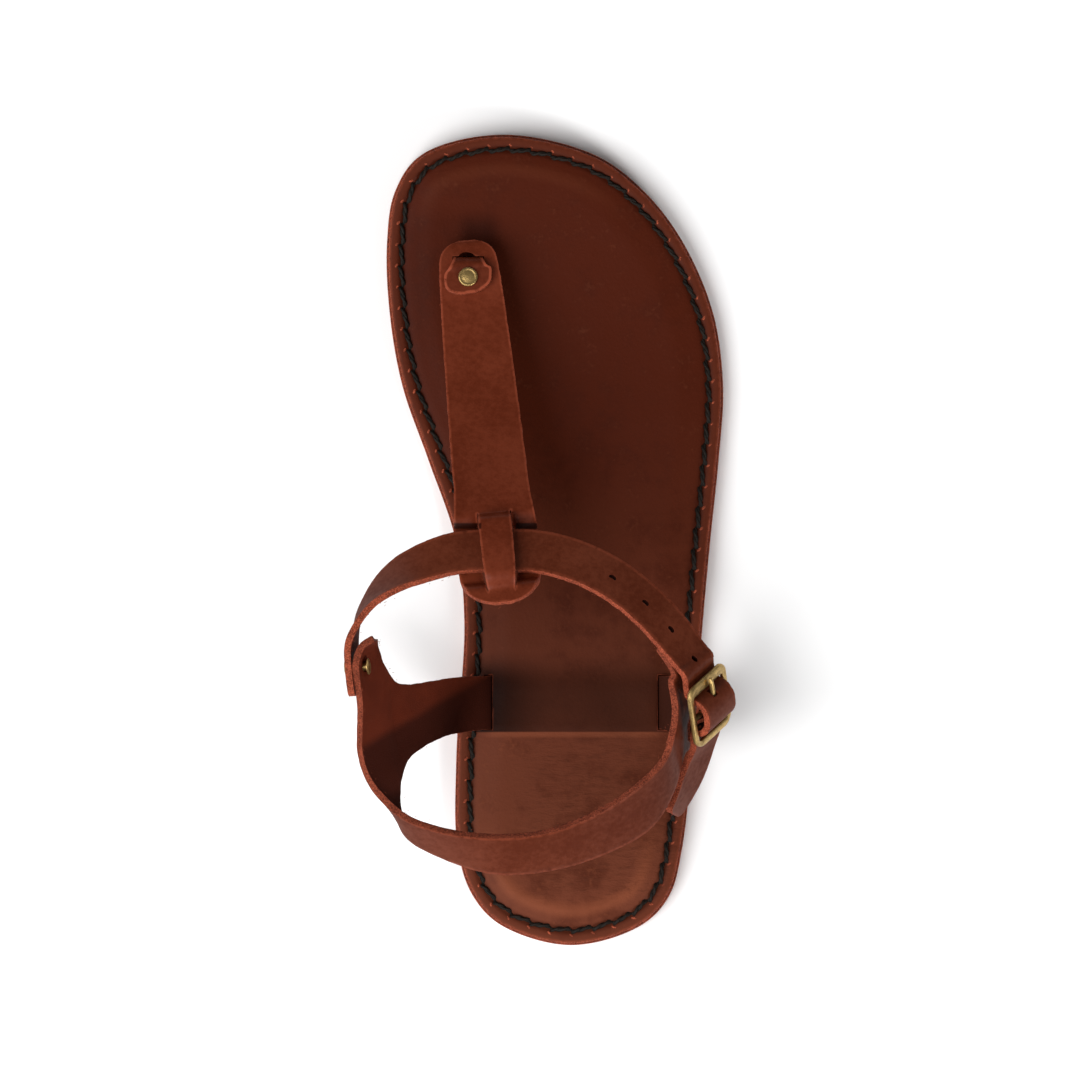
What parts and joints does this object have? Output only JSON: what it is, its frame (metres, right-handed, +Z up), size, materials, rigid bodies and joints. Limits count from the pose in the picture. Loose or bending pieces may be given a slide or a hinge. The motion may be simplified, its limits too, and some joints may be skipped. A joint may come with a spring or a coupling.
{
  "type": "barefoot sandal",
  "caption": "Flat leather thong sandal with a T strap between the first toes, a buckled ankle strap and a heel strap that rises from slits in the insole.",
  "frame": {"origin": "on the floor, at the middle of the sole's length, near the middle of its width", "axes": "+Y from heel to toe, +Z up, +X towards the lateral side, where the buckle is"},
  "size_m": [0.12, 0.25, 0.0666],
  "materials": {
    "sole_leather": "matte cut edge",
    "insole_leather": "smooth satin",
    "strap_leather": "smooth satin, waxed",
    "antique_brass": "aged, semi-polished"
  },
  "bodies": {
    "root": {"outsole": "sole_leather", "insole": "insole_leather", "toe_post": "strap_leather", "instep_strap": "strap_leather", "ankle_strap": "strap_leather", "heel_strap": "strap_leather", "buckle_chape": "strap_leather", "buckle_frame": "antique_brass", "buckle_prong": "antique_brass", "rivet_toe": "antique_brass", "rivet_medial": "antique_brass"}
  },
  "joints": []
}
